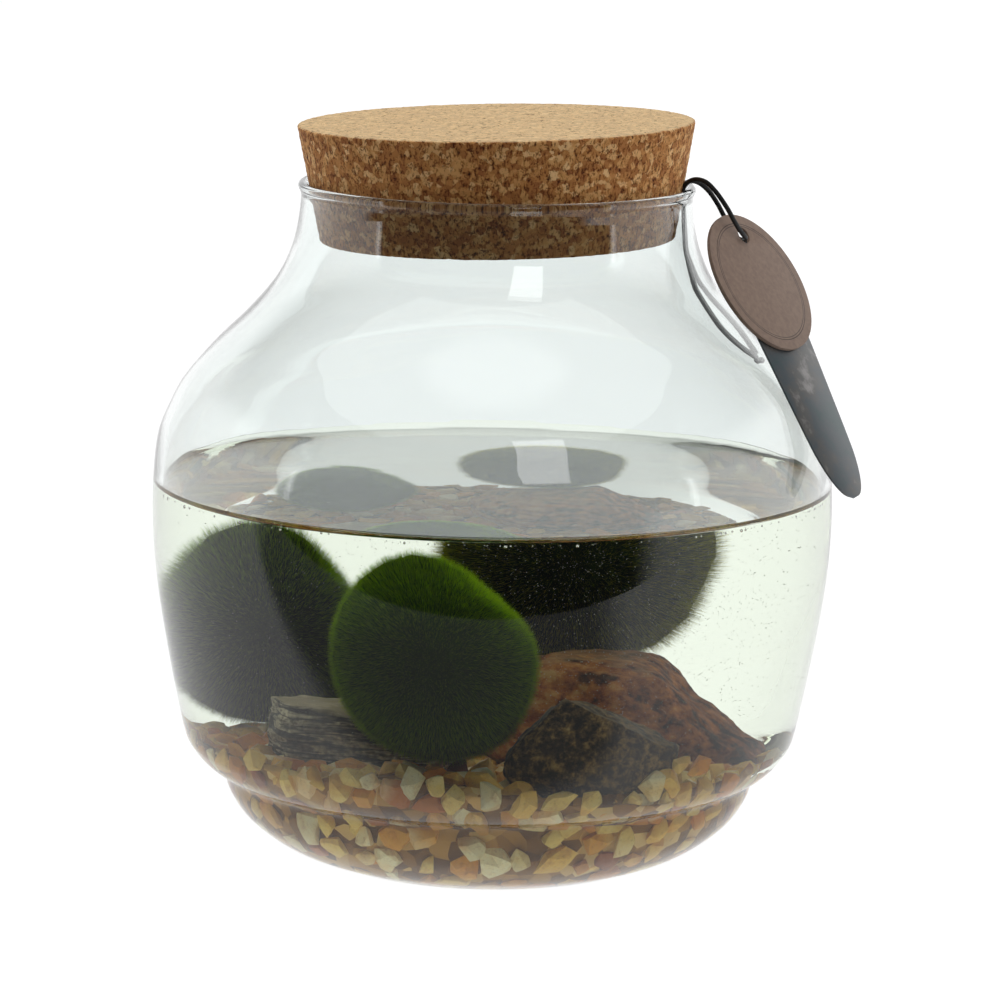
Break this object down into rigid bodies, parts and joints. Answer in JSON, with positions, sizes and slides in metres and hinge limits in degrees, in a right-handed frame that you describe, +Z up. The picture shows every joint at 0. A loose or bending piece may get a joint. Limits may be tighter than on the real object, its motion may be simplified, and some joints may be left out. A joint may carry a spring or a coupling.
{
  "type": "marimo moss balls in a corked water jar",
  "caption": "Wide clear glass jar with a cork stopper, filled with water over a gravel bed with moss balls and stones, and two card tags on a cord loop.",
  "frame": {"origin": "on the surface that the jar stands on, under the middle of its base", "axes": "+Z up along the jar's axis, -Y towards the front, +X to the side that the tags hang on"},
  "size_m": [0.175, 0.17, 0.1852],
  "materials": {
    "glass_jar": "clear blown glass",
    "cork_stopper": "pressed cork granules",
    "water": "still clear water",
    "gravel_bed": "stone chips in cream, ochre and rust",
    "marimo_front": "felted green threads",
    "marimo_left": "felted green threads",
    "marimo_back": "felted green threads",
    "stone_grey": "layered grey stone",
    "stone_dark": "dark speckled stone",
    "stone_red": "reddish brown stone",
    "round_tag": "matt brown board with two fine ring lines",
    "strip_tag": "glossy grey card",
    "tag_cord": "black waxed cotton",
    "cord_knot": "black waxed cotton"
  },
  "bodies": {
    "root": {"glass_jar": "glass_jar", "cork_stopper": "cork_stopper", "water": "water", "gravel_bed": "gravel_bed", "marimo_front": "marimo_front", "marimo_left": "marimo_left", "marimo_back": "marimo_back", "stone_grey": "stone_grey", "stone_dark": "stone_dark", "stone_red": "stone_red", "round_tag": "round_tag", "strip_tag": "strip_tag", "tag_cord": "tag_cord", "cord_knot": "cord_knot"}
  },
  "joints": []
}
